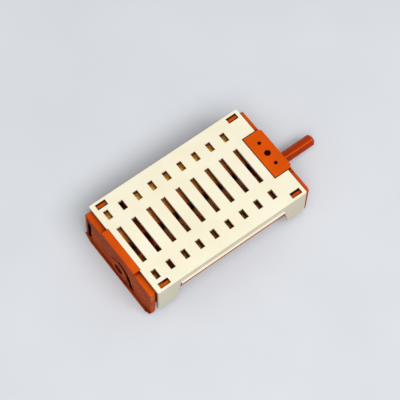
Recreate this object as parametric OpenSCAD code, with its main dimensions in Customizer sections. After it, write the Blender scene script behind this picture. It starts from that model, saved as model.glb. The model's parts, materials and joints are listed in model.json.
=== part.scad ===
// Oven selector switch: nine contact chambers in a row over a camshaft, snap-on cover, D spindle.
// Millimetres. +X runs along the spindle to the knob, +Z points to the cover.
// The origin is on the shaft axis, in the front mounting plane.

/* [Contact row] */
// Distance between neighbouring contact chambers
pitch = 8.5; // [8.5:0.1:9.5]
// Number of contact chambers, counted from the rear
chambers = 9; // [9]
// Chamber that is left without contacts, counted from the rear
empty_chamber = 2; // [0:1:9]
// Front mounting plane to the middle of the last chamber
front_to_chamber = 16.8; // [16.8:0.1:20]
// Clear width of a chamber along the shaft
chamber_w = 7.4; // [7.2:0.1:7.6]
// Thickness of the chamber floor
floor_t = 1; // [0.8:0.1:2]
// Depth of the chamber block below the cover plate
block_h = 11.4; // [11:0.1:13]

/* [Cover] */
// Width of the cover across the row
cover_w = 55; // [55:0.5:60]
// Thickness of the cover plate
plate_t = 1.8; // [1.4:0.1:2.2]
// Thickness of the side skirts and legs
skirt_t = 1.25; // [1:0.05:1.4]
// Depth of the side skirts, measured from the top
skirt_h = 5; // [4.5:0.1:6]
// Depth of the corner legs, measured from the top
leg_h = 18.5; // [16:0.5:20]
// Length of a rear leg at the skirt
rear_leg_l = 13.1; // [12:0.1:16]
// Length of a front leg at the skirt
front_leg_l = 13.3; // [12:0.1:16]
// How much the inner edge of a leg slants in over its height
leg_slant = 3; // [1:0.1:4]
// Flare of the skirt's lower lip
lip_out = 0.8; // [0.4:0.1:1]
// Corner radius of the cover plate
corner_r = 0.7; // [0.5:0.1:2]
// Rear edge of the cover to the middle of the first chamber
cover_rear = 4.85; // [4.6:0.05:5]
// Front edge of the cover to the front mounting plane
cover_front = 2.9; // [2.7:0.1:3.4]
// Width of the long vent slots
slot_w = 2.55; // [2:0.05:3.2]
// Length of the long vent slots
slot_l = 21.1; // [18:0.1:24]
// Width of the small contact windows
window_w = 2.65; // [2:0.05:3.2]
// Length of the small contact windows
window_l = 5; // [4:0.1:6]
// Distance of the contact windows from the side edge of the cover
window_edge = 8.8; // [8.5:0.1:9]
// Length of the latch windows
latch_l = 5.7; // [5:0.1:7]
// Width of the latch windows
latch_w = 3; // [2.4:0.1:3.4]

/* [Base] */
// Height of the shaft axis below the top of the cover
shaft_drop = 18.3; // [18.3:0.1:20]
// Height of the shaft axis above the underside
shaft_h = 7.5; // [7.4:0.1:9]
// Clearance between the base and the skirts of the cover
skirt_gap = 0.25; // [0.15:0.05:0.4]
// Thickness of the side walls of the chambers
side_t = 1.5; // [1.3:0.1:1.8]
// Thickness of the rear end plate
rear_plate_t = 2.2; // [2:0.1:2.6]
// Gap between an end plate and the edge of the cover
end_gap = 1.05; // [0.8:0.05:1.2]
// Thickness of the front end plate
front_plate_t = 2.4; // [2.2:0.1:2.6]
// Step from the front mounting plane back to the front end plate
front_step = 0.4; // [0.2:0.1:0.6]
// Depth of the rear end plate's top edge below the cover's top
rear_drop = 1.9; // [1.4:0.1:2.2]
// Depth of the front end plate's top edge below the cover's top
front_drop = 2.1; // [1.9:0.1:3]
// Backward lean of the front end plate's face over its height
front_lean = 0.8; // [0:0.1:1]
// Chamfer of the bottom corners of the end plates
end_chamfer = 4; // [2:0.5:6]
// Rim round the recess in the rear end plate
rim_w = 1.5; // [1:0.1:2.5]
// Depth of the recess in the rear end plate
recess_d = 0.3; // [0.2:0.1:1.2]
// Height of the sill under the recess
sill_h = 0.8; // [0.5:0.1:2]
// How far the sill stands out from the rear end plate
sill_out = 0.8; // [0.4:0.1:1.2]
// Radius of the bearing boss in the rear end plate
boss_r = 6.5; // [6.2:0.1:7]
// Half length of the raised bar in the rear end plate
bar_y = 12.8; // [10:0.1:14]

/* [Camshaft] */
// Radius of the spindle
spindle_r = 3; // [3:0.1:3.6]
// Length of the spindle in front of the mounting plane
spindle_l = 23.2; // [18:0.1:40]
// Depth of the flat on the spindle
flat_d = 1.4; // [1:0.1:1.6]
// Length of the flat on the spindle
flat_l = 12; // [8:0.5:15]
// Radius of the cams where they lift a contact
cam_high_r = 5.6; // [5.4:0.05:5.8]
// Radius of the cams where they let a contact close
cam_low_r = 4.4; // [4:0.1:4.6]
// Step from the low part of the cams down to the shaft's core
core_step = 0.2; // [0.1:0.1:0.6]
// Width of a cam along the shaft
cam_w = 4.4; // [3.4:0.1:5]
// Radius of the front collar, which runs in the base
collar_r = 6.1; // [6.1:0.05:6.4]
// Radius of the rear journal
journal_r = 2.9; // [2.4:0.05:2.95]
// Running clearance of the camshaft's bearings
bearing_gap = 0.05; // [0.03:0.01:0.08]
// Number of detent positions in a turn
positions = 8; // [8]

/* [Contacts] */
// Sheet thickness of the terminals
tab_t = 0.8; // [0.8:0.1:1]
// Width of the push-on tabs
tab_w = 6.3; // [6:0.1:6.5]
// Length of the push-on tabs below the base
tab_l = 8; // [6:0.1:8.5]
// Width of a contact blade
blade_w = 3.8; // [3.4:0.1:4.4]
// Thickness of a contact blade
blade_t = 0.35; // [0.25:0.05:0.45]
// Radius of the contact buttons
button_r = 1.4; // [1.2:0.05:1.5]
// Gap between the open contacts
contact_gap = 0.9; // [0.6:0.1:1.1]

/* [Detent cap] */
// Length of the cap's top pad behind the mounting plane
cap_l = 10.3; // [9.8:0.1:10.8]
// Width of the cap's top pad
cap_w = 25; // [22:0.5:26]
// Distance from the mounting plane back to the detent wheel's middle
detent_back = 5.2; // [5.1:0.1:5.4]
// Width of the detent wheel
wheel_w = 2.8; // [2.4:0.1:2.9]
// Radius of the cap's middle hole
cap_hole_r = 1.6; // [1.2:0.1:1.8]
// Distance of the spring's tang holes from the middle line
tang_y = 6.4; // [6.2:0.1:6.6]
// Spacing of the two fixing holes beside the spindle
fixing_y = 28; // [26:0.5:34]
// Radius of the fixing holes
fixing_r = 1.65; // [1.4:0.05:2]

/* [Hidden] */
// Clearances and overlaps
fit_gap = 0.1;
seat_gap = 0.03;
open_gap = 0.45;
seam_gap = 0.15;
stamp_gap = 0.15;
eps = 0.02;
cut = 1;

top_z = shaft_drop;
block_top = top_z - plate_t;
floor_z = block_top - block_h;
chamber_z = floor_z + floor_t;
base_z = -shaft_h;

function chamber_x(i) = -front_to_chamber - (chambers - 1 - i) * pitch;
rear_x = chamber_x(0);
cover_x0 = rear_x - cover_rear;
cover_x1 = -cover_front;
rear_plate_x = cover_x0 - end_gap - rear_plate_t;
rear_wall_x = cover_x0 - end_gap - eps;
front_plate_x = -front_step;
front_wall_x = front_plate_x - front_plate_t;

inner_y = cover_w / 2 - skirt_t;
block_y = inner_y - skirt_gap;
chamber_y = block_y - side_t;
chamber_x0 = rear_x - chamber_w / 2;
window_y = cover_w / 2 - window_edge;

// Shaft channel, front bearing and the pocket of the detent cap
channel_r = collar_r + fit_gap;
bearing_r = collar_r + bearing_gap;
bearing_t = 3;
bearing_x = front_plate_x - bearing_t;
pocket_y = 8.5;
pocket_l = 6.6;
front_rib_y = 2.5;
cap_flange_t = 1.5;
cap_flange_out = 1.5;
cap_flange_y = cap_w / 2 + cap_flange_out;
cap_flange_x = -cap_l - cap_flange_out;
cap_seat_z = block_top - cap_flange_t;
cap_corner = 1.2;
cap_neck_r = 4;
tang_hole_r = 0.95;
collar_w = 1.8;

// Ends of the base
boss_out = 0.1;
journal_l = 2.4;
journal_x = chamber_x0 + 0.2;
screw_boss_r = 3.8;
screw_depth = 9.6;
block_set_rear = 0.25;
block_set_front = 0.3;
rear_top_z = top_z - rear_drop;
rear_fill_z = min(rear_top_z, block_top - eps);
rear_corner = 0.3;
front_corner = 1;
side_notch = 0.5;
bar_h = 3;
bar_bite = 0.65;
relief_w = 2.2;
relief_low = 3.6;
relief_high = 6.5;
arc_gap = 0.1;
arc_w = 1.8;
arc_low = 5.8;
arc_flare = 2.2;
arc_floor = 1;

// Snap latches
latch_edge = 1.3;
latch_y = cover_w / 2 - latch_w / 2 - latch_edge;
latch_rear_x = rear_x + 0.5;
latch_front_x = cover_x1 - 4.6;
latch_below = 2;
hook_inset = 0.3;
hook_t = 1.1;
hook_y = latch_y - 0.6;
hook_drop = 0.9;
hook_top_z = top_z - hook_drop;
hook_barb = 0.75;
hook_bevel = 0.4;
hook_h = plate_t + 3.5 - hook_drop;
catch_inset = 0.4;
catch_t = 0.8;
catch_h = 1.2;

// Terminals and blades
flange_rise = 5.9;
flange_z = chamber_z + flange_rise;
terminal_w = 7.6;
terminal_x = -chamber_w / 2 + 0.35;
bend_r = 1.2;
tab_tip = 1;
tab_hole_r = 0.8;
tab_hole_z = 3.2;
rivet_y = -(window_y - 1.2);
contact_y = window_y - 0.4;
button_h = 0.7;
shank_r = 0.75;
head_r = 1.25;
head_h = 0.45;
root_y = -(window_y + 2.6);
root_bend_y = -(window_y - 5.1);
bend_l = 1;
bend_drop = 0.2;
arm_y = 4.2;
arm_drop = 0.6;
nose_flat = 0.5;
nose_y = 1.3;
nose_h = 0.7;
tip_bend_y = window_y - 4.7;
tip_bend_l = 1.2;
tip_drop = 0.25;
tip_y = window_y + 2.7;
tip_clear = 0.1;
blade_tip_z = flange_z + button_h + contact_gap + button_h + tip_clear;

// Cams and detent
core_r = cam_low_r - core_step;
cam_ramp = 8;
cam_cut_in = 0.5;
cam_cut_out = 1;
run_part = 1 / 3;
wheel_r = collar_r - 0.2;
wheel_x = -detent_back;
wheel_front_x = wheel_x + wheel_w / 2;
valley_r = 1.4;
valley_at = wheel_r + 0.3;
nose_r = 1.2;
spring_t = 0.5;
spring_w = 2.4;
spring_nose_z = valley_at - valley_r + seat_gap + nose_r;
spring_turn = 60;
spring_drop = 1;
tang_w = 1.2;
tang_l = 0.6;
tang_root = 0.5;
spindle_bevel = 1;

// Positions in which each chamber's contact is closed, as runs of detent steps
programme = [
    [[1, 2], [5, 5]], [], [[2, 3], [6, 6]], [[1, 1], [4, 4]], [[3, 3], [5, 7]],
    [[4, 4], [6, 6]], [[1, 1], [3, 3], [7, 7]], [[2, 2], [5, 6]], [[4, 4], [7, 7]]
];

// ---- Helpers ----

// Rectangle with round corners, from two squares and four circles
module round_rect(x0, x1, w, r) {
    translate([x0, -w / 2 + r]) square([x1 - x0, w - 2 * r]);
    translate([x0 + r, -w / 2]) square([x1 - x0 - 2 * r, w]);
    for (x = [x0 + r, x1 - r], y = [-w / 2 + r, w / 2 - r])
        translate([x, y]) circle(r, $fn = 32);
}

// Box between two corners
module box(a, b) {
    translate(a) cube(b - a);
}

// Outline drawn in Y and Z, extruded from x0 to x1
module along_x(x0, x1) {
    translate([x0, 0, 0]) rotate([90, 0, 90]) linear_extrude(x1 - x0) children();
}

// Outline drawn in X and Z, extruded from y0 to y1
module along_y(y0, y1) {
    translate([0, y1, 0]) rotate([90, 0, 0]) linear_extrude(y1 - y0) children();
}

// Round bar along the shaft
module bar_x(x0, x1, r, y = 0, z = 0) {
    translate([x0, y, z]) rotate([0, 90, 0]) cylinder(h = x1 - x0, r = r, $fn = 64);
}

// U-shaped channel about the shaft, open upwards
module channel(x0, x1, r, z1) {
    bar_x(x0, x1, r);
    box([x0, -r, 0], [x1, r, z1]);
}

function unit(v) = v / norm(v);
function side(v) = [-v[1], v[0]];
function run_side(p, i) = side(unit(p[i + 1] - p[i]));
function joint_point(p, i, d) =
    let (a = run_side(p, max(i - 1, 0)), b = run_side(p, min(i, len(p) - 2)))
    p[i] + d * (a + b) / (1 + a * b);
// Outline of a bent strip of thickness t along the centre line p
function strip(p, t) = concat(
    [for (i = [0:len(p) - 1]) joint_point(p, i, t / 2)],
    [for (i = [len(p) - 1:-1:0]) joint_point(p, i, -t / 2)]
);

// Mirror image across the shaft's upright plane, together with the original
module both_sides() {
    children();
    mirror([0, 1, 0]) children();
}

// ---- Cover ----

module leg_outline(x_end, length, towards) {
    polygon([
        [x_end, top_z], [x_end, top_z - leg_h],
        [x_end + towards * (length - leg_slant), top_z - leg_h],
        [x_end + towards * length, top_z - skirt_h], [x_end + towards * length, top_z]
    ]);
}

module skirt() {
    along_y(inner_y, cover_w / 2) {
        translate([cover_x0, top_z - skirt_h]) square([cover_x1 - cover_x0, skirt_h]);
        leg_outline(cover_x0, rear_leg_l, 1);
        leg_outline(cover_x1, front_leg_l, -1);
    }
}

module skirt_lip() {
    along_x(cover_x0 + rear_leg_l, cover_x1 - front_leg_l)
        polygon([
            [cover_w / 2 - eps, top_z - skirt_h + lip_out], [cover_w / 2 + lip_out, top_z - skirt_h],
            [cover_w / 2 - eps, top_z - skirt_h]
        ]);
}

module cover_catch(x) {
    z1 = hook_top_z - hook_h - fit_gap;
    along_x(x - latch_l / 2 + catch_inset, x + latch_l / 2 - catch_inset)
        polygon([
            [inner_y + eps, z1], [inner_y - catch_t, z1],
            [inner_y - catch_t, z1 - catch_h / 2], [inner_y + eps, z1 - catch_h]
        ]);
}

// Square-cornered opening through the cover plate
module through(x0, x1, y0, y1) {
    box([x0, y0, block_top - cut], [x1, y1, top_z + cut]);
}

module cover_openings() {
    for (i = [0:chambers - 1]) {
        x = chamber_x(i);
        through(x - slot_w / 2, x + slot_w / 2, -slot_l / 2, slot_l / 2);
        both_sides()
            through(x - window_w / 2, x + window_w / 2, window_y - window_l / 2, window_y + window_l / 2);
    }
    both_sides() for (x = [latch_rear_x, latch_front_x])
        through(x - latch_l / 2, x + latch_l / 2, latch_y - latch_w / 2, latch_y + latch_w / 2);
    through(-cap_l - open_gap, cover_x1 + cut, -cap_w / 2 - open_gap, cap_w / 2 + open_gap);
    through(cover_x0 - cut, cover_x0 + bar_bite, -bar_y - seam_gap, bar_y + seam_gap);
}

module cover() {
    color([0.97, 0.93, 0.83]) {
        difference() {
            intersection() {
                union() {
                    translate([0, 0, block_top]) linear_extrude(plate_t)
                        round_rect(cover_x0, cover_x1, cover_w, corner_r);
                    both_sides() skirt();
                }
                translate([0, 0, top_z - leg_h - cut]) linear_extrude(leg_h + 2 * cut)
                    round_rect(cover_x0, cover_x1, cover_w, corner_r);
            }
            cover_openings();
        }
        both_sides() {
            skirt_lip();
            for (x = [latch_rear_x, latch_front_x]) cover_catch(x);
        }
    }
}

// ---- Base ----

// Outline of an end plate with its top at z1 and its top corners cut off by c
module end_outline(z1, c) {
    polygon([
        [-block_y + c, z1], [-block_y, z1 - c],
        [-block_y, base_z + end_chamfer], [-block_y + end_chamfer, base_z],
        [block_y - end_chamfer, base_z], [block_y, base_z + end_chamfer],
        [block_y, z1 - c], [block_y - c, z1]
    ]);
}

// Inside edge of the recess in the rear end plate
module recess_outline() {
    z0 = base_z + sill_h;
    z1 = rear_top_z - rim_w;
    y = block_y - rim_w;
    polygon([
        [-y, z1], [-y, z0 + end_chamfer], [-y + end_chamfer, z0],
        [y - end_chamfer, z0], [y, z0 + end_chamfer], [y, z1]
    ]);
}

module rear_plate() {
    along_x(rear_plate_x, rear_plate_x + rear_plate_t) end_outline(rear_top_z, rear_corner);
    box([rear_plate_x, -bar_y, rear_top_z - bar_h], [cover_x0 + bar_bite - seam_gap, bar_y, top_z]);
}

// Sill that runs along the bottom edge of the rear end plate
module rear_sill() {
    along_x(rear_plate_x - sill_out, rear_plate_x + recess_d + eps) difference() {
        end_outline(rear_top_z, rear_corner);
        translate([0, sill_h]) end_outline(rear_top_z, rear_corner);
    }
}

// Recess round the bearing boss, the upright slot at its end and the curved one beside the boss
module rear_cuts() {
    slot_y = block_y - rim_w;
    along_x(rear_plate_x - cut, rear_plate_x + recess_d) difference() {
        recess_outline();
        circle(boss_r, $fn = 64);
    }
    box([rear_plate_x - cut, slot_y - relief_w, base_z + relief_low],
        [chamber_x0 + cut, slot_y, rear_top_z - relief_high]);
    along_x(rear_plate_x - cut, chamber_x0 - arc_floor) relief_arc();
}

// Curved slot round the side of the bearing boss, flaring out below the shaft
module relief_arc() {
    r = boss_r + arc_gap;
    intersection() {
        difference() {
            circle(r + arc_w, $fn = 64);
            circle(r, $fn = 64);
        }
        translate([-r - 2 * arc_w, 0]) square([r + 2 * arc_w, r + 2 * arc_w]);
    }
    polygon([[-r - arc_w, eps], [-r - arc_w - arc_flare, -arc_low], [-r - arc_flare, -arc_low], [-r, eps]]);
}

module front_plate() {
    y = cap_flange_y + front_rib_y;
    z1 = top_z - front_drop;
    intersection() {
        along_x(front_wall_x, front_plate_x) end_outline(z1, front_corner);
        along_y(-block_y - cut, block_y + cut)
            polygon([
                [front_wall_x - cut, base_z - cut], [front_plate_x - front_lean, base_z - cut],
                [front_plate_x - front_lean, base_z], [front_plate_x, z1],
                [front_plate_x, z1 + cut], [front_wall_x - cut, z1 + cut]
            ]);
    }
    box([bearing_x, -y, base_z + end_chamfer], [front_wall_x + eps, y, block_top]);
    both_sides() bar_x(-screw_depth - cut, 0, screw_boss_r, fixing_y / 2, 0);
}

module block() {
    box([cover_x0 + block_set_rear, -block_y, floor_z], [cover_x1 - block_set_front, block_y, block_top]);
    box([cover_x0 + block_set_rear - eps, -chamber_y, floor_z], [front_wall_x + eps, chamber_y, block_top]);
    box([rear_wall_x, -block_y + side_notch, floor_z],
        [cover_x0 + block_set_rear + eps, block_y - side_notch, rear_fill_z]);
    // Trough that carries the camshaft
    bar_x(rear_wall_x, front_wall_x + eps, shaft_h);
    box([rear_wall_x, -shaft_h, 0], [front_wall_x + eps, shaft_h, floor_z + eps]);
}

module chamber_cuts() {
    slot_y = tab_w / 2 + stamp_gap;
    for (i = [0:chambers - 1]) {
        x = chamber_x(i);
        box([x - chamber_w / 2, -chamber_y, chamber_z], [x + chamber_w / 2, chamber_y, top_z + cut]);
        both_sides()
            box([x + terminal_x - fit_gap, window_y - slot_y, floor_z - cut],
                [x + terminal_x + tab_t + fit_gap, window_y + slot_y, chamber_z + cut]);
    }
}

module shaft_cuts() {
    channel(chamber_x0, bearing_x, channel_r, top_z + cut);
    channel(bearing_x - eps, cut, bearing_r, top_z + cut);
    box([bearing_x - pocket_l, -pocket_y, 0], [bearing_x, pocket_y, top_z + cut]);
    box([cap_flange_x - fit_gap, -cap_flange_y - fit_gap, cap_seat_z],
        [cut, cap_flange_y + fit_gap, top_z + cut]);
    bar_x(rear_plate_x - boss_out - cut, chamber_x0 + cut, journal_r + bearing_gap);
    both_sides() bar_x(-screw_depth, cut, fixing_r, fixing_y / 2, 0);
}

// Space in the side wall round a latch hook
module latch_cut(x) {
    half = latch_l / 2 + fit_gap;
    box([x - half, hook_y + hook_t, floor_z - cut], [x + half, block_y + cut, top_z]);
    box([x - half, latch_y - latch_w / 2, hook_top_z - hook_h - latch_below], [x + half, hook_y, top_z]);
    box([x - half, hook_y - eps, hook_top_z], [x + half, hook_y + hook_t + eps, top_z]);
}

// Barb on the free top of a latch hook
module latch_hook(x) {
    half = latch_l / 2 - hook_inset;
    face_y = hook_y + hook_t;
    along_x(x - half, x + half)
        polygon([
            [hook_y, hook_top_z], [face_y + hook_barb - hook_bevel, hook_top_z],
            [face_y + hook_barb, hook_top_z - hook_bevel], [face_y + hook_barb, hook_top_z - hook_h],
            [hook_y, hook_top_z - hook_h]
        ]);
}

module base() {
    color([0.84, 0.30, 0.06]) {
        difference() {
            union() {
                block();
                difference() {
                    rear_plate();
                    rear_cuts();
                }
                front_plate();
                rear_sill();
                bar_x(rear_plate_x - boss_out, rear_wall_x, boss_r);
            }
            chamber_cuts();
            shaft_cuts();
            both_sides() for (x = [latch_rear_x, latch_front_x]) latch_cut(x);
        }
        both_sides() for (x = [latch_rear_x, latch_front_x]) latch_hook(x);
    }
}

// ---- Detent cap and spring ----

module cap_outline() {
    y = cap_w / 2;
    polygon([
        [-cap_l, -y], [-cap_corner, -y], [0, -y + cap_corner],
        [0, y - cap_corner], [-cap_corner, y], [-cap_l, y]
    ]);
}

module detent_cap() {
    lug_y = bearing_r - fit_gap;
    color([0.90, 0.38, 0.07])
        difference() {
            union() {
                translate([0, 0, cap_seat_z]) linear_extrude(top_z - cap_seat_z) cap_outline();
                box([cap_flange_x, -cap_flange_y, cap_seat_z], [front_plate_x, cap_flange_y, block_top]);
                box([bearing_x + fit_gap, -lug_y, 0], [0, lug_y, cap_seat_z + eps]);
            }
            bar_x(bearing_x - cut, bearing_x + collar_w, bearing_r);
            bar_x(bearing_x - cut, cut, cap_neck_r + bearing_gap);
            translate([wheel_x, 0, 0]) cylinder(h = top_z + cut, r = cap_hole_r, $fn = 48);
            both_sides() translate([wheel_x, tang_y, cap_seat_z - cut])
                cylinder(h = top_z, r = tang_hole_r, $fn = 32);
        }
}

// Leaf spring whose nose rests in the detent wheel and whose tangs sit in the cap
module detent_spring() {
    bend = nose_r - spring_t / 2;
    shoulder_z = cap_seat_z - seat_gap;
    low_z = shoulder_z - spring_drop;
    nose = [for (k = [-4:4]) let (a = k * spring_turn / 4)
        [bend * sin(a), spring_nose_z - bend * cos(a)]];
    line = concat([[-tang_y, shoulder_z], [-tang_y, low_z]], nose, [[tang_y, low_z], [tang_y, shoulder_z]]);
    color([0.72, 0.72, 0.70]) {
        along_x(wheel_x - spring_w / 2, wheel_x + spring_w / 2) polygon(strip(line, spring_t));
        both_sides()
            box([wheel_x - tang_w / 2, tang_y - spring_t / 2, shoulder_z - tang_root],
                [wheel_x + tang_w / 2, tang_y + spring_t / 2, shoulder_z + tang_l]);
    }
}

// ---- Camshaft ----

// Disc with a hollow for each run of positions in which the contact is closed
module cam_outline(runs) {
    step = 360 / positions;
    difference() {
        circle(cam_high_r, $fn = 96);
        for (run = runs) difference() {
            cut_sector(90 + (run[0] - run_part) * step, 90 + (run[1] + run_part) * step);
            circle(cam_low_r, $fn = 96);
        }
    }
}

// Sector with sloping flanks, which become the ramps of the cam
module cut_sector(a0, a1) {
    inner = cam_low_r - cam_cut_in;
    outer = cam_high_r + cam_cut_out;
    polygon(concat(
        [inner * [cos(a0 + cam_ramp), sin(a0 + cam_ramp)]],
        [outer * [cos(a0 - cam_ramp), sin(a0 - cam_ramp)]],
        [for (k = [0:4]) let (a = a0 + (a1 - a0) * k / 4) (outer + cam_cut_out) * [cos(a), sin(a)]],
        [outer * [cos(a1 + cam_ramp), sin(a1 + cam_ramp)]],
        [inner * [cos(a1 - cam_ramp), sin(a1 - cam_ramp)]],
        [[0, 0]]
    ));
}

// Wheel with one round valley for each position
module detent_outline() {
    difference() {
        circle(wheel_r, $fn = 96);
        for (k = [0:positions - 1])
            rotate(90 + k * 360 / positions) translate([valley_at, 0]) circle(valley_r, $fn = 32);
    }
}

module camshaft() {
    color([0.62, 0.20, 0.07])
        difference() {
            union() {
                bar_x(journal_x - journal_l, journal_x + fit_gap, journal_r);
                bar_x(journal_x, wheel_front_x, core_r);
                for (i = [0:chambers - 1]) if (i + 1 != empty_chamber)
                    along_x(chamber_x(i) - cam_w / 2, chamber_x(i) + cam_w / 2)
                        cam_outline(programme[i]);
                along_x(wheel_x - wheel_w / 2, wheel_front_x) detent_outline();
                bar_x(wheel_front_x - eps, bearing_x + collar_w - fit_gap, collar_r);
                bar_x(bearing_x, 0, cap_neck_r);
                bar_x(-cut, spindle_l - spindle_bevel, spindle_r);
                translate([spindle_l - spindle_bevel, 0, 0]) rotate([0, 90, 0])
                    cylinder(h = spindle_bevel, r1 = spindle_r, r2 = spindle_r - spindle_bevel, $fn = 64);
            }
            box([spindle_l - flat_l, -spindle_r - cut, -spindle_r - cut],
                [spindle_l + cut, spindle_r + cut, -spindle_r + flat_d]);
        }
}

// ---- Contacts ----

// Angle of bent sheet: web at the left, flange at the top
module angle_outline(h, w) {
    square([tab_t, h - bend_r]);
    translate([bend_r, h - tab_t]) square([w - bend_r, tab_t]);
    translate([bend_r, h - bend_r]) intersection() {
        difference() {
            circle(bend_r, $fn = 32);
            circle(bend_r - tab_t, $fn = 32);
        }
        translate([-bend_r, 0]) square(bend_r);
    }
}

// Round hole for a rivet's shank through sheet about the height z
module rivet_hole(x, y, z) {
    translate([x, y, z - cut]) cylinder(h = 2 * cut, r = shank_r + seat_gap, $fn = 32);
}

// Push-on terminal on the +Y side: tab, web and flange, with a hole for its rivet
module terminal(x, hole_y) {
    x0 = x + terminal_x;
    y0 = window_y - terminal_w / 2;
    color([0.80, 0.60, 0.22])
        difference() {
            union() {
                translate([x0, 0, chamber_z]) along_y(y0, y0 + terminal_w)
                    angle_outline(flange_z - chamber_z, -terminal_x + blade_w / 2);
                along_x(x0, x0 + tab_t) tab_outline();
            }
            rivet_hole(x, hole_y, flange_z - tab_t / 2);
            bar_x(x0 - cut, x0 + tab_t + cut, tab_hole_r, window_y, floor_z - tab_l + tab_hole_z);
        }
}

module tab_outline() {
    y0 = window_y - tab_w / 2;
    y1 = window_y + tab_w / 2;
    z0 = floor_z - tab_l;
    z1 = chamber_z + fit_gap;
    polygon([
        [y0 + tab_tip, z0], [y1 - tab_tip, z0], [y1, z0 + tab_tip], [y1, z1], [y0, z1], [y0, z0 + tab_tip]
    ]);
}

module fixed_terminal(i) {
    terminal(chamber_x(i), contact_y);
}

module blade_terminal(i) {
    mirror([0, 1, 0]) terminal(chamber_x(i), -rivet_y);
}

// Contact blade: riveted root, V that rides on the cam, tip with the moving contact
module blade(i) {
    x = chamber_x(i);
    root_z = flange_z + blade_t / 2;
    tip_z = blade_tip_z + blade_t / 2;
    low_z = cam_high_r + seat_gap + blade_t / 2;
    arm_z = root_z - arm_drop;
    line = [
        [root_y, root_z], [root_bend_y, root_z], [root_bend_y + bend_l, root_z - bend_drop],
        [-arm_y, arm_z], [-nose_y, low_z + nose_h], [-nose_flat, low_z],
        [nose_flat, low_z], [nose_y, low_z + nose_h], [arm_y, arm_z],
        [tip_bend_y, tip_z - tip_drop], [tip_bend_y + tip_bend_l, tip_z], [tip_y, tip_z]
    ];
    color([0.78, 0.55, 0.20])
        difference() {
            along_x(x - blade_w / 2, x + blade_w / 2) polygon(strip(line, blade_t));
            rivet_hole(x, rivet_y, root_z);
            rivet_hole(x, contact_y, tip_z);
        }
}

// Rivet from z0 to z1 with a foot below z0 and a head above z1
module rivet(x, y, z0, z1, foot_r, foot_h, top_r, top_h) {
    translate([x, y, 0]) {
        translate([0, 0, z0 - foot_h]) cylinder(h = foot_h, r = foot_r, $fn = 32);
        translate([0, 0, z0 - foot_h]) cylinder(h = z1 - z0 + foot_h + top_h, r = shank_r, $fn = 32);
        translate([0, 0, z1]) cylinder(h = top_h, r = top_r, $fn = 32);
    }
}

module each_contact() {
    for (i = [0:chambers - 1]) if (i + 1 != empty_chamber)
        translate([chamber_x(i), 0, 0]) children();
}

module blade_rivets() {
    color([0.75, 0.60, 0.35]) each_contact()
        rivet(0, rivet_y, flange_z - tab_t, flange_z + blade_t, head_r, head_h, head_r, head_h);
}

module moving_contacts() {
    color([0.75, 0.60, 0.35]) each_contact()
        rivet(0, contact_y, blade_tip_z, blade_tip_z + blade_t, button_r, button_h, head_r, head_h);
}

module fixed_contacts() {
    color([0.82, 0.80, 0.74]) each_contact()
        rivet(0, contact_y, flange_z - tab_t, flange_z, head_r, head_h, button_r, button_h);
}

base();
cover();
detent_cap();
detent_spring();
camshaft();
for (i = [0:chambers - 1]) if (i + 1 != empty_chamber) {
    blade(i);
    blade_terminal(i);
    fixed_terminal(i);
}
blade_rivets();
moving_contacts();
fixed_contacts();
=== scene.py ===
# %% [markdown]
# # Selector switch of an oven
# The switch is a row of nine contact chambers in an orange base, closed by a slotted cream
# cover. A camshaft runs under the row and ends in the spindle that carries the knob.
# The solids come from the imported model, which stays as a fixed frame. This script gives
# the four mouldings their rounded edges, every piece its finish, and lights it for a picture.

# %% Load the frame
import bpy
import json
import math
from mathutils import Matrix, Vector


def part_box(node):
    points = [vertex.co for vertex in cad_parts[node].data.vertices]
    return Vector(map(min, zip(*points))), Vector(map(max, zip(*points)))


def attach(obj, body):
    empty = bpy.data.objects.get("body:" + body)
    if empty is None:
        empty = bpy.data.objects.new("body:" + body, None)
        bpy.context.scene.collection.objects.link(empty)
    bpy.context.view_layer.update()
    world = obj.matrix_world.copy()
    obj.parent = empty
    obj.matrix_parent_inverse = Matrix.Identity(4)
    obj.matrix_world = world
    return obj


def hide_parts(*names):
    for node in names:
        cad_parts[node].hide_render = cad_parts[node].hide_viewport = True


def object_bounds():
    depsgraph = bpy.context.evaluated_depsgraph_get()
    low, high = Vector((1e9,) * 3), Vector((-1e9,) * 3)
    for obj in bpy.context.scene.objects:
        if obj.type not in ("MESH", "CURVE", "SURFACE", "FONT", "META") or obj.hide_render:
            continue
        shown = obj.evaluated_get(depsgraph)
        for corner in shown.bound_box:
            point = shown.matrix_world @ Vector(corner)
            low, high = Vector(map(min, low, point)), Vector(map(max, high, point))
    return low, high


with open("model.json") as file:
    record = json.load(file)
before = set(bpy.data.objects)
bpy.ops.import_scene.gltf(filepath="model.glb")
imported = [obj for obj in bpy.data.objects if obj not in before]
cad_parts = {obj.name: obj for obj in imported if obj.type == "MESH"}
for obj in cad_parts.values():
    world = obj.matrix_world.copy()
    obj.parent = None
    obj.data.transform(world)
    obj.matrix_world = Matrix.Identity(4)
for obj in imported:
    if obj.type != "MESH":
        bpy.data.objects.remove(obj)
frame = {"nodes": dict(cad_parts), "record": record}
cad_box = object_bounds()
bpy.ops.object.select_all(action="DESELECT")
MM = 0.001

# %% [markdown]
# ## Camera
# The switch is seen from high above and from its rear left, through a long lens, so its edges
# stay nearly parallel. A camera looks along its own -Z axis. Its place is a point on the part
# plus a distance along the line back to the eye, and its axes are the columns of a matrix.

# %% Camera
AZIMUTH = math.radians(-38.40)
ELEVATION = math.radians(64.55)
ROLL = math.radians(1.67)
DISTANCE = 864.6 * MM
LENS_MM = 166.07
aim = Vector((-45.8 * MM, -0.755 * MM, 18.3 * MM))

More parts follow.
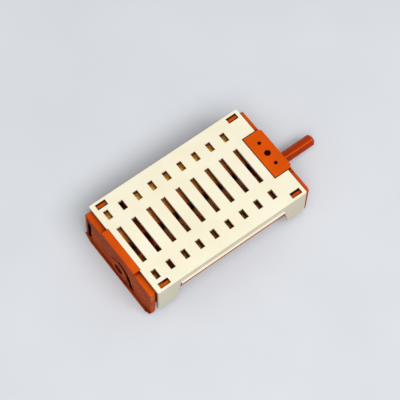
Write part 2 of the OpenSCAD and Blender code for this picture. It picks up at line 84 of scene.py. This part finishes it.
right = Vector((math.cos(AZIMUTH), math.sin(AZIMUTH), 0))
back = Vector((math.sin(AZIMUTH) * math.cos(ELEVATION),
               -math.cos(AZIMUTH) * math.cos(ELEVATION), math.sin(ELEVATION)))
up = back.cross(right)
axis_x = math.cos(ROLL) * right + math.sin(ROLL) * up
axis_y = math.cos(ROLL) * up - math.sin(ROLL) * right

lens = bpy.data.cameras.new("camera")
lens.lens = LENS_MM
lens.sensor_width = 36
lens.clip_start = 10 * MM
camera = bpy.data.objects.new("camera", lens)
bpy.context.collection.objects.link(camera)
turn = Matrix((axis_x, axis_y, back)).transposed().to_4x4()
camera.matrix_world = Matrix.Translation(aim + DISTANCE * back) @ turn
bpy.context.scene.camera = camera
print("camera at", [round(v, 3) for v in camera.matrix_world.translation])

# %% [markdown]
# ## Node helpers
# Colours are written as hex values, as a paint chart gives them. The shader needs them linear.
# One helper adds a node with its settings and its links, so a material reads as a short list.

# %% Node helpers


def linear(hex_colour):
    """The linear RGBA of an sRGB hex colour."""
    channels = [int(hex_colour[i:i + 2], 16) / 255 for i in (1, 3, 5)]
    return tuple(c / 12.92 if c <= 0.04045 else ((c + 0.055) / 1.055) ** 2.4
                 for c in channels) + (1.0,)


def add(tree, kind, inputs=None, stops=(), **settings):
    """Adds a node. An input is a value, or a socket of another node, which is linked."""
    made = tree.nodes.new(kind)
    for name, value in settings.items():
        setattr(made, name, value)
    for name, value in (inputs or {}).items():
        if isinstance(value, bpy.types.NodeSocket):
            tree.links.new(value, made.inputs[name])
        else:
            made.inputs[name].default_value = value
    for index, (position, colour) in enumerate(stops):
        if index >= len(made.color_ramp.elements):
            made.color_ramp.elements.new(position)
        made.color_ramp.elements[index].position = position
        made.color_ramp.elements[index].color = colour
    return made


def new_material(name):
    """An empty node material with its output, and the Object coordinates to read."""
    material = bpy.data.materials.new(name)
    material.use_nodes = True
    tree = material.node_tree
    tree.nodes.clear()
    output = add(tree, "ShaderNodeOutputMaterial")
    place = add(tree, "ShaderNodeTexCoord").outputs["Object"]
    return material, tree, output, place


print("a middle grey in linear light:", round(linear("#808080")[0], 3))

# %% [markdown]
# ## Painted shade in hollows
# Deep in its slots and recesses every colour is darkened by painted shade, mostly tinted warm
# by a painted reflection of the orange and brown walls round it. An Ambient Occlusion node
# measures how enclosed a point is. Its result goes through a ramp and is multiplied with the
# colour, so the openings read as deep. This painted shade follows the shape by itself and holds
# from every side.

# %% Painted shade in hollows
REACH = 5 * MM
WHITE = (1, 1, 1, 1)


def with_painted_shade(tree, colour, tint, deep, open_to):
    """The colour as it is in the open, multiplied with painted shade in the hex colour `tint` in
    a hollow.
    """
    enclosed = add(tree, "ShaderNodeAmbientOcclusion", {"Distance": REACH}, samples=8)
    shade = add(tree, "ShaderNodeValToRGB", {"Fac": enclosed.outputs["AO"]},
                stops=[(deep, linear(tint)), (open_to, WHITE)])
    mixed = add(tree, "ShaderNodeMix", {"Factor": 1.0, "A": colour, "B": shade.outputs["Color"]},
                data_type="RGBA", blend_type="MULTIPLY")
    return mixed.outputs[2]


print("hollows are felt over", round(REACH / MM, 1), "mm")

# %% [markdown]
# ## Moulded plastic
# Cover, base, cap and camshaft are injection moulded. Such a skin has a slow change of tone
# where the melt flowed, fine specks of filler, and a grain left by the mould. All three are
# noise textures whose scale is one over the real size in metres. The grain is drawn at a
# quarter of a millimetre, coarser than the real one, so that it still shows in the picture.

# %% Moulded plastic
FLOW = 1 / (14 * MM)
SPECK = 1 / (0.55 * MM)
GRAIN = 1 / (0.25 * MM)
GRAIN_DEPTH = 0.05 * MM
PIT = (0.02, 0.02, 0.03, 1)


def moulded_plastic(name, main, deep, pale, ior, rough, gloss, speck, grain, hollow_shade,
                    dots_at=0.35, sheen="#FFFFFF"):
    """Injection moulded plastic: flow tone, specks and grain over a dielectric skin."""
    material, tree, output, place = new_material(name)
    flow = add(tree, "ShaderNodeTexNoise", {"Vector": place, "Scale": FLOW, "Detail": 3.0})
    tone = add(tree, "ShaderNodeValToRGB", {"Fac": flow.outputs["Fac"]},
               stops=[(0.30, linear(deep)), (0.52, linear(main)), (0.75, linear(pale))])
    specks = add(tree, "ShaderNodeTexNoise", {"Vector": place, "Scale": SPECK, "Detail": 4.0})
    dots = add(tree, "ShaderNodeValToRGB", {"Fac": specks.outputs["Fac"]},
               stops=[(dots_at - 0.07, PIT), (dots_at + 0.07, WHITE)])
    coloured = add(tree, "ShaderNodeMix", {"Factor": speck, "A": WHITE,
                                           "B": dots.outputs["Color"]}, data_type="RGBA")
    skin = add(tree, "ShaderNodeMix", {"Factor": 1.0, "A": tone.outputs["Color"],
                                       "B": coloured.outputs[2]},
               data_type="RGBA", blend_type="MULTIPLY")
    fine = add(tree, "ShaderNodeTexNoise", {"Vector": place, "Scale": GRAIN, "Detail": 2.0})
    bump = add(tree, "ShaderNodeBump", {"Height": fine.outputs["Fac"], "Strength": grain,
                                        "Distance": GRAIN_DEPTH})
    satin = add(tree, "ShaderNodeMapRange", {"Value": flow.outputs["Fac"], "To Min": rough - 0.06,
                                             "To Max": rough + 0.08})
    # The base colour carries the painted shade of the hollows, and a sheen other than white is a
    # painted tint of the highlight.
    shader = add(tree, "ShaderNodeBsdfPrincipled", {
        "Base Color": with_painted_shade(tree, skin.outputs[2], *hollow_shade),
        "Roughness": satin.outputs["Result"], "Normal": bump.outputs["Normal"],
        "IOR": ior, "Specular IOR Level": gloss, "Specular Tint": linear(sheen)})
    tree.links.new(shader.outputs["BSDF"], output.inputs["Surface"])
    return material


# In each material below, the hollow colour and ramp set the painted shade in its hollows.
# Phenolic compound, pressed hot: an even orange with a dull, slightly grainy skin.
base_orange = moulded_plastic("base_orange_phenolic", "#E05600", "#D04C00", "#E8620A",
                              ior=1.6, rough=0.55, gloss=0.07, speck=0.16, grain=0.25,
                              hollow_shade=("#6A3014", 0.34, 0.96))
# The same compound against a spark eroded wall: mottled, with dark pits and pale crumbs.
# Its pinkish cast is painted reflected light, and its hollows take deeper painted shade.
rear_orange = moulded_plastic("base_orange_eroded_painted_shade", "#E4602A", "#BE4A20", "#F28448",
                              ior=1.6, rough=0.62, gloss=0.08, speck=0.80, grain=0.80,
                              hollow_shade=("#3A1408", 0.50, 0.84), dots_at=0.42)
# Painted shade for the walls of the slots: a dark, matt brown without a highlight.
slot_painted_shade = moulded_plastic("base_slot_painted_shade", "#1C0A06", "#140604", "#281008",
                             ior=1.5, rough=0.70, gloss=0.05, speck=0.40, grain=0.50,
                             hollow_shade=("#3A1408", 0.50, 0.90))
# Painted shade in the bore of the bearing and on the journal in it: a darker, slightly glossy
# red.
bore_painted_shade = moulded_plastic("base_bore_painted_shade", "#84200A", "#6C1A08", "#96280C",
                              ior=1.5, rough=0.40, gloss=0.20, speck=0.20, grain=0.20,
                              hollow_shade=("#2C0E06", 0.40, 0.90))
# The cap is a small pressing in a polished mould: the same orange, a little smoother.
cap_orange = moulded_plastic("cap_orange_phenolic", "#E25600", "#D85000", "#E8600A",
                             ior=1.6, rough=0.46, gloss=0.07, speck=0.10, grain=0.20,
                             hollow_shade=("#300C04", 0.45, 0.85))
# Glass filled polyamide: a warm cream that is nearly plain, with a soft sheen at low angles.
cover_cream = moulded_plastic("cover_cream_polyamide", "#FCF5DA", "#FAF1D4", "#FEF8E0",
                              ior=1.53, rough=0.46, gloss=0.38, speck=0.02, grain=0.18,
                              hollow_shade=("#6A3010", 0.45, 0.92))
# Brown polyamide, rubbed smooth where it turns: dark red-brown. The spindle lamp draws a streak
# of light on it, and its warm orange is a painted highlight tint.
shaft_brown = moulded_plastic("camshaft_brown_polyamide", "#9C2400", "#881C00", "#AC2C02",
                              ior=1.53, rough=0.17, gloss=1.00, speck=0.08, grain=0.12,
                              hollow_shade=("#F4DCC0", 0.60, 0.96), sheen="#FF863C")
print("materials so far:", len(bpy.data.materials))

# %% [markdown]
# ## Sheet metal
# Terminals are stamped from brass, blades from spring bronze, and the contact buttons are
# silver. Rolled sheet has fine lines along its length and thin patches of tarnish. The lines
# are a noise stretched along Y, which is the way the strip was rolled. A blade has a brown film
# of tarnish, which hides part of the metal's mirror, so it is only partly metallic. Its tip,
# which carries the contact, is painted a lighter gold and made less metallic, painted light
# that keeps it bright in the shade under the windows. In their hollows the metals are
# darkened by painted shade.

# %% Sheet metal
TARNISH = 1 / (3 * MM)
ROLLING = 1 / (0.3 * MM)
LINE_DEPTH = 0.02 * MM
TIGHT, OPEN = 0.06, 0.42
TIP = 15 * MM


def rolled_metal(name, bright, dull, rough, lines, tint="#6C6C6C", tip_painted_light=None):
    """Rolled or headed metal with tarnish in patches and fine lines along Y."""
    material, tree, output, place = new_material(name)
    patches = add(tree, "ShaderNodeTexNoise", {"Vector": place, "Scale": TARNISH, "Detail": 5.0})
    colour = add(tree, "ShaderNodeValToRGB", {"Fac": patches.outputs["Fac"]},
                 stops=[(0.35, linear(dull)), (0.65, linear(bright))])
    colour, metallic = colour.outputs["Color"], 1.0
    if tip_painted_light:
        # The tip is painted a lighter gold: painted light that keeps it bright under the windows.
        along = add(tree, "ShaderNodeSeparateXYZ", {"Vector": place})
        tip = add(tree, "ShaderNodeMapRange", {"Value": along.outputs["Y"],
                                               "From Min": TIP - MM, "From Max": TIP + MM})
        mixed = add(tree, "ShaderNodeMix", {"Factor": tip.outputs["Result"], "A": colour,
                                            "B": linear(tip_painted_light)}, data_type="RGBA")
        tip_metallic = add(tree, "ShaderNodeMapRange", {"Value": tip.outputs["Result"],
                                                 "To Min": 0.6, "To Max": 0.4})
        colour, metallic = mixed.outputs[2], tip_metallic.outputs["Result"]
    stretched = add(tree, "ShaderNodeMapping", {"Vector": place, "Scale": (1.0, 0.05, 1.0)})
    strokes = add(tree, "ShaderNodeTexNoise", {"Vector": stretched.outputs["Vector"],
                                               "Scale": ROLLING, "Detail": 2.0})
    bump = add(tree, "ShaderNodeBump", {"Height": strokes.outputs["Fac"], "Strength": lines,
                                        "Distance": LINE_DEPTH})
    satin = add(tree, "ShaderNodeMapRange", {"Value": patches.outputs["Fac"],
                                             "To Min": rough + 0.12, "To Max": rough - 0.05})
    shader = add(tree, "ShaderNodeBsdfPrincipled", {
        "Base Color": with_painted_shade(tree, colour, tint, TIGHT, OPEN), "Metallic": metallic,
        "Roughness": satin.outputs["Result"], "Normal": bump.outputs["Normal"]})
    tree.links.new(shader.outputs["BSDF"], output.inputs["Surface"])
    return material


# Half hard brass sheet: yellow gold, a little blurred by rolling lines.
terminal_brass = rolled_metal("terminal_brass_sheet", "#F0AE3C", "#C88A28", 0.34, 0.3, "#E8E8E8")
# Phosphor bronze spring strip: redder than brass and browned by heat; its tip is painted a
# lighter gold, painted light that keeps it bright in the shade under the windows.
blade_bronze = rolled_metal("blade_phosphor_bronze", "#CC721C", "#9C4E0C", 0.30, 0.3, "#D8D0C0",
                            tip_painted_light="#EC9828")
# Headed brass wire: bright domes that catch light in a dark window.
rivet_brass = rolled_metal("rivet_brass_wire", "#F4B450", "#C89038", 0.34, 0.1, "#E8E8E8")
# Silver alloy contact buttons: pale grey with a soft bloom.
contact_silver = rolled_metal("contact_silver_alloy", "#DAD6CC", "#A8A296", 0.32, 0.1)
# Tempered spring steel: a neutral grey strip with long drawn lines.
spring_steel = rolled_metal("detent_spring_steel", "#B8B8B6", "#7E7E7C", 0.30, 0.3)
FINISHES = {
    "base": base_orange, "detent_cap": cap_orange, "cover": cover_cream,
    "camshaft": shaft_brown, "detent_spring": spring_steel, "blade_rivets": rivet_brass,
    "moving_contacts": rivet_brass, "fixed_contacts": contact_silver,
}


def finish_of(node_name):
    """The material of a CAD node, by its own name or by the kind that the name says."""
    if node_name in FINISHES:
        return FINISHES[node_name]
    return terminal_brass if "terminal" in node_name else blade_bronze


for name, node in frame["nodes"].items():
    node.data.materials.clear()
    node.data.materials.append(finish_of(name))
print("finishes on", len(frame["nodes"]), "nodes")

# %% [markdown]
# ## Rounded edges
# A mould never makes a sharp edge, and the thin line of light along an edge is what tells the
# eye that a piece is moulded. The edges could be rounded one by one in edit mode, but a Bevel
# modifier finds them by their angle. Each moulding is copied, its triangles are joined back
# into flat faces, and the modifier rounds what turns by more than 35 degrees.

# %% Rounded edges
SHARP = math.radians(35)
FLAT = math.radians(0.5)
WELD = 0.002 * MM


def rounded_copy(node_name, radius_mm, steps):
    """A copy of a CAD node with its edges rounded, which stands for that node."""
    piece = frame["nodes"][node_name].copy()
    piece.data = piece.data.copy()
    piece.name = piece.data.name = node_name + "_moulding"
    bpy.context.collection.objects.link(piece)
    bpy.ops.object.select_all(action="DESELECT")
    piece.select_set(True)
    bpy.context.view_layer.objects.active = piece
    bpy.ops.object.mode_set(mode="EDIT")
    bpy.ops.mesh.select_all(action="SELECT")
    bpy.ops.mesh.remove_doubles(threshold=WELD)
    bpy.ops.mesh.dissolve_limited(angle_limit=FLAT)
    bpy.ops.object.mode_set(mode="OBJECT")
    edge = piece.modifiers.new("edge", "BEVEL")
    edge.width = radius_mm * MM
    edge.segments = steps
    edge.limit_method = "ANGLE"
    edge.angle_limit = SHARP
    bpy.ops.object.modifier_apply(modifier="edge")
    bpy.ops.object.shade_smooth_by_angle(angle=SHARP)
    even = piece.modifiers.new("even", "WEIGHTED_NORMAL")
    even.keep_sharp = True
    bpy.ops.object.modifier_apply(modifier="even")
    body = next(b for b, members in frame["record"]["behaviour"]["bodies"].items()
                if node_name in members)
    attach(piece, body)
    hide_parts(node_name)
    print(piece.name, "faces:", len(piece.data.polygons))
    return piece


cover = rounded_copy("cover", 0.25, 2)
base = rounded_copy("base", 0.15, 2)
cap = rounded_copy("detent_cap", 0.30, 3)
shaft = rounded_copy("camshaft", 0.20, 2)

# %% [markdown]
# ## Curved slot
# The slot that curves round the bearing has its outer wall a millimetre further out than the
# solid has. The wall's corners are selected by their distance from the shaft's axis, and a
# resize along Y from that axis moves them. The top of the arc lies above the axis and stays
# put. A new cut would give the same slot, but the corners are there already.

# %% Curved slot
WALL_R = 8.4 * MM
FLARE_END = (-10.6 * MM, -5.8 * MM)
PLATE_DEPTH = 3.1 * MM
ON_WALL = 0.06 * MM
SLACK = 0.05 * MM
WIDER = 1.12
outer_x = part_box("base")[0][0]


def on_outer_wall(place):
    """Whether a corner of the base lies on the outer wall of the curved slot."""
    on_arc = (abs(math.hypot(place.y, place.z) - WALL_R) < ON_WALL
              and place.y < SLACK and place.z > -SLACK)
    at_end = math.hypot(place.y - FLARE_END[0], place.z - FLARE_END[1]) < SLACK
    return place.x < outer_x + PLATE_DEPTH and (on_arc or at_end)


bpy.ops.object.select_all(action="DESELECT")
base.select_set(True)
bpy.context.view_layer.objects.active = base
bpy.ops.object.mode_set(mode="EDIT")
bpy.ops.mesh.select_mode(type="VERT")
bpy.ops.mesh.select_all(action="DESELECT")
bpy.ops.object.mode_set(mode="OBJECT")
wall = [vertex for vertex in base.data.vertices if on_outer_wall(vertex.co)]
for vertex in wall:
    vertex.select = True
bpy.ops.object.mode_set(mode="EDIT")
bpy.ops.transform.resize(value=(1, WIDER, 1), center_override=(0, 0, 0))
bpy.ops.object.mode_set(mode="OBJECT")
print("corners moved:", len(wall))

# %% [markdown]
# ## Rear face
# The mould's rear wall was spark eroded, so the rear end of the base is duller and speckled.
# Every face of the end plate that doesn't look upwards takes that second finish, which also
# carries a pinkish cast of painted reflected light and deeper painted shade in its hollows,
# while the faces that look up keep the plain orange. The walls of the slots that pierce the
# plate are painted a near black brown, painted shade for the dark inside them. The bore of the
# bearing and the journal of the camshaft that ends in it are painted a darker red, painted
# shade inside the bore. A piece may hold several materials, so the faces are picked by their
# place and direction.

# %% Rear face
LOOKS_UP = 0.4
LOOKS_ALONG = 0.3
SLOT_X = (1.15 * MM, 2.9 * MM)
SLOT_Y = 24.5 * MM
SLOT_Z = (-6.5 * MM, 12 * MM)
BORE_R = 3.2 * MM
BORE_DEPTH = 8 * MM
JOURNAL_LENGTH = 3 * MM
shaft_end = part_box("camshaft")[0][0]


def looks_away(face):
    """Whether a face looks away from the shaft's axis."""
    return abs(face.normal.x) < LOOKS_ALONG


def paint(piece, faces, finish):
    """Gives some faces of a piece a further material."""
    piece.data.materials.append(finish)
    for face in faces:
        face.material_index = len(piece.data.materials) - 1


plate_faces = [face for face in base.data.polygons if face.center.x < outer_x + PLATE_DEPTH]
eroded_and_shaded = [face for face in plate_faces if face.normal.z < LOOKS_UP]
slot_walls = [face for face in plate_faces
              if SLOT_X[0] < face.center.x - outer_x < SLOT_X[1]
              and abs(face.center.y) < SLOT_Y and SLOT_Z[0] < face.center.z < SLOT_Z[1]]
bore_walls = [face for face in base.data.polygons
              if face.center.x < outer_x + BORE_DEPTH and looks_away(face)
              and math.hypot(face.center.y, face.center.z) < BORE_R]
journal = [face for face in shaft.data.polygons if face.center.x < shaft_end + JOURNAL_LENGTH]
# The end plate's faces that don't look upwards take the finish with painted shade and painted
# reflected light.
paint(base, eroded_and_shaded, rear_orange)
# The slot walls are painted near black: painted shade inside the slots.
paint(base, slot_walls, slot_painted_shade)
# Bore and journal are painted a darker red: painted shade inside the bore.
paint(base, bore_walls, bore_painted_shade)
paint(shaft, journal, bore_painted_shade)
print("eroded:", len(eroded_and_shaded), "slots:", len(slot_walls), "bore:", len(bore_walls),
      "journal:", len(journal))

# %% [markdown]
# ## Painted light on the camshaft
# Near each blade the cams are painted a lighter tan, painted light that stands for light reaching
# them through the vent slots. The faces of the camshaft that look away from its axis take that
# finish near each blade, so that the empty chamber stays dark.

# %% Painted light on the camshaft
PAINTED_LIGHT_REACH = 4.6 * MM
# The same polyamide painted a lighter, matt tan: painted light on the cams in the chambers.
cam_painted_light = moulded_plastic("camshaft_painted_light", "#CC7A38", "#B8662A", "#DC8C44",
                              ior=1.53, rough=0.45, gloss=0.35, speck=0.20, grain=0.12,
                              hollow_shade=("#F8ECE0", 0.60, 0.96))
blade_x = [sum(corner[0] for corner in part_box(name)) / 2
           for name in frame["nodes"] if name.startswith("blade_") and name[-1].isdigit()
           and "terminal" not in name]
# Faces near each blade take the painted light.
painted_lit = [face for face in shaft.data.polygons if looks_away(face)
         and min(abs(face.center.x - x) for x in blade_x) < PAINTED_LIGHT_REACH]
paint(shaft, painted_lit, cam_painted_light)
print("blades:", len(blade_x), "dusty faces:", len(painted_lit))

# %% [markdown]
# ## Floor
# The switch lies on a sheet of plain pale paper, which holds its shadow. To the eye and in
# reflections the sheet has its own colour. For the light that bounces off it, it is a middle
# grey, so that the sides of the switch aren't lit from below more than on a bench.

# %% Floor
FLOOR_SIZE = 6
FIBRE = 1 / (60 * MM)


def seen(tree):
    """One for the rays by which the eye, a mirror or a glass sees a thing, else zero."""
    rays = add(tree, "ShaderNodeLightPath").outputs
    direct = add(tree, "ShaderNodeMath", {0: rays["Is Camera Ray"], 1: rays["Is Glossy Ray"]},
                 operation="MAXIMUM")
    either = add(tree, "ShaderNodeMath", {0: direct.outputs[0],
                                          1: rays["Is Transmission Ray"]}, operation="MAXIMUM")
    return either.outputs[0]


rest_z = cad_box[0][2]
print("floor at", round(rest_z / MM, 2), "mm")
bpy.ops.object.select_all(action="DESELECT")
bpy.ops.mesh.primitive_plane_add(size=FLOOR_SIZE, location=(0, 0, rest_z))
floor = bpy.context.object
floor.name = "floor"
floor_paper, tree, output, place = new_material("floor_pale_paper")
fibres = add(tree, "ShaderNodeTexNoise", {"Vector": place, "Scale": FIBRE})
paper = add(tree, "ShaderNodeValToRGB", {"Fac": fibres.outputs["Fac"]},
            stops=[(0.3, linear("#DFE2E6")), (0.7, linear("#E3E6EA"))])
matt = add(tree, "ShaderNodeBsdfDiffuse", {"Color": paper.outputs["Color"], "Roughness": 0.8})
bounce = add(tree, "ShaderNodeBsdfDiffuse", {"Color": linear("#8A8C90"), "Roughness": 0.8})
sheet = add(tree, "ShaderNodeMixShader", {0: seen(tree), 1: bounce.outputs[0],
                                          2: matt.outputs[0]})
tree.links.new(sheet.outputs[0], output.inputs["Surface"])
floor.data.materials.append(floor_paper)

# %% [markdown]
# ## Light
# A large soft lamp stands above the switch, towards the near long side, so the top is bright,
# the long side is a little darker and the rear end is the darkest. One lamp alone leaves the
# round spindle flat, so a small one draws a line of light along it. The world fills the
# shadows, and looks white to the eye and in reflections.

# %% Light
LAMP_AWAY = 1.2
FILL = 0.30
BACKDROP = 0.85


def soft_lamp(name, watts, size, from_part):
    """A square lamp that looks at the part from a direction."""
    lamp = bpy.data.lights.new(name, "AREA")
    lamp.energy, lamp.size = watts, size
    placed = bpy.data.objects.new(name, lamp)
    bpy.context.collection.objects.link(placed)
    direction = Vector(from_part).normalized()
    placed.location = aim + LAMP_AWAY * direction
    placed.rotation_euler = direction.to_track_quat("Z", "Y").to_euler()


soft_lamp("main_lamp", watts=10.5, size=0.9, from_part=(-0.20, -0.50, 1.0))
soft_lamp("spindle_lamp", watts=2.3, size=0.35, from_part=(0.27, -0.55, 0.78))

world = bpy.data.worlds.new("studio")
world.use_nodes = True
bpy.context.scene.world = world
tree = world.node_tree
tree.nodes.clear()
fill = add(tree, "ShaderNodeBackground", {"Color": WHITE, "Strength": FILL})
backdrop = add(tree, "ShaderNodeBackground", {"Color": WHITE, "Strength": BACKDROP})
sky = add(tree, "ShaderNodeMixShader", {0: seen(tree), 1: fill.outputs[0],
                                        2: backdrop.outputs[0]})
add(tree, "ShaderNodeOutputWorld", {"Surface": sky.outputs[0]})
print("lamps:", [lamp.name for lamp in bpy.data.lights])
bpy.context.scene.view_settings.view_transform = "Standard"
